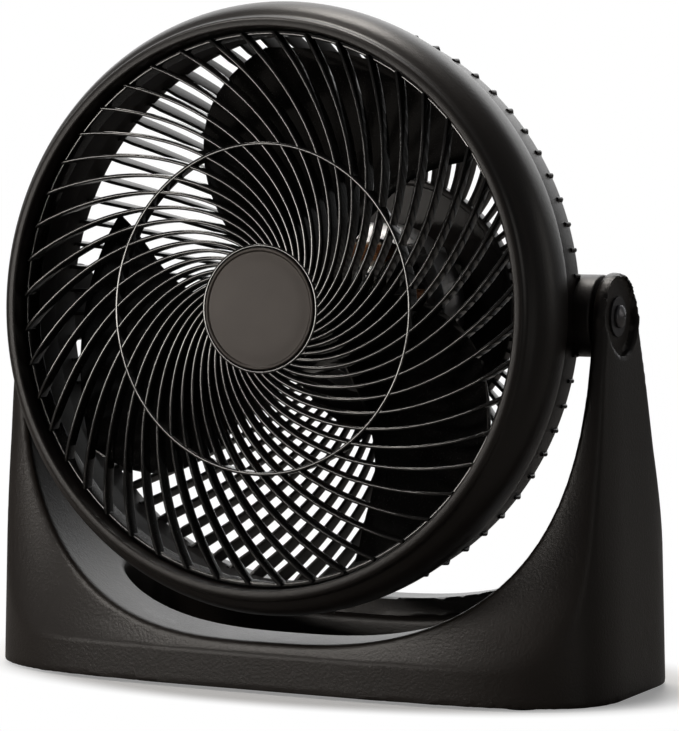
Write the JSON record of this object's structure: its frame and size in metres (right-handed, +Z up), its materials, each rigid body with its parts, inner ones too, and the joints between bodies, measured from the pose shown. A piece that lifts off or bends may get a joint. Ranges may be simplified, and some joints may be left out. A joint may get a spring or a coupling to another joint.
{
  "type": "air circulator fan",
  "caption": "Table air circulator: a round fan head with swirled front grille and bowl-shaped rear grille, tilting between the arms of a U-shaped stand.",
  "frame": {"origin": "bottom centre of the object's bounding box, on the surface that it stands on", "axes": "+Z up; the front grille faces -Y; +X is on the right hand when looking at the front grille; the tilt axis runs along X"},
  "size_m": [0.2784, 0.1632, 0.2762],
  "materials": {
    "shell": "fine-grained satin moulded plastic, very dark brown",
    "gloss": "glossy black moulded plastic",
    "badge": "bare satin brown disc with a paler rim",
    "rubber": "matt rubber",
    "bright_steel": "plated steel",
    "dark_steel": "oiled dark steel",
    "laminations": "stacked bright laminations and die-cast brackets",
    "copper": "enamelled copper wire",
    "nylon": "natural nylon",
    "bronze": "sintered bronze",
    "bakelite": "dark thermoset"
  },
  "bodies": {
    "stand": {"stand_shell": "shell", "foot_front_left": "rubber", "foot_front_right": "rubber", "foot_rear_left": "rubber", "foot_rear_right": "rubber"},
    "head": {"front_shell": "shell", "front_grille": "gloss", "hub_badge": "badge", "rear_grille": "shell", "motor_cover": "shell", "cord_gland": "rubber", "speed_switch": "bakelite", "stator_core": "laminations", "motor_bracket_front": "laminations", "motor_bracket_rear": "laminations", "bearing_front": "bronze", "bearing_rear": "bronze", "bobbin_top": "nylon", "coil_top": "copper", "bobbin_right": "nylon", "coil_right": "copper", "bobbin_bottom": "nylon", "coil_bottom": "copper", "bobbin_left": "nylon", "coil_left": "copper", "motor_bolt_1": "dark_steel", "motor_bolt_2": "dark_steel", "motor_bolt_3": "dark_steel", "motor_bolt_4": "dark_steel", "cover_screw_1": "bright_steel", "cover_screw_2": "bright_steel", "cover_screw_3": "bright_steel", "pivot_spacer_left": "nylon", "pivot_washer_left": "bright_steel", "pivot_screw_left": "bright_steel", "pivot_spacer_right": "nylon", "pivot_washer_right": "bright_steel", "pivot_screw_right": "bright_steel"},
    "rotor": {"motor_shaft": "bright_steel", "rotor_core": "dark_steel", "impeller": "gloss", "impeller_nut": "gloss"},
    "knob": {"speed_knob": "gloss", "switch_spindle": "nylon"}
  },
  "joints": [
    {"name": "head_tilt", "type": "hinge", "parent": "stand", "child": "head", "pos_m": [0, -0.0208, 0.15169], "axis": [-1, 0, 0], "range_deg": [-2.5, 87.5]},
    {"name": "rotor_spin", "type": "hinge", "parent": "head", "child": "rotor", "pos_m": [0, -0.0208, 0.15169], "axis": [0, -0.999, 0.0436], "continuous": true},
    {"name": "knob_turn", "type": "hinge", "parent": "head", "child": "knob", "pos_m": [0, 0.07307, 0.12357], "axis": [0, -0.999, 0.0436], "range_deg": [0, 135]}
  ]
}
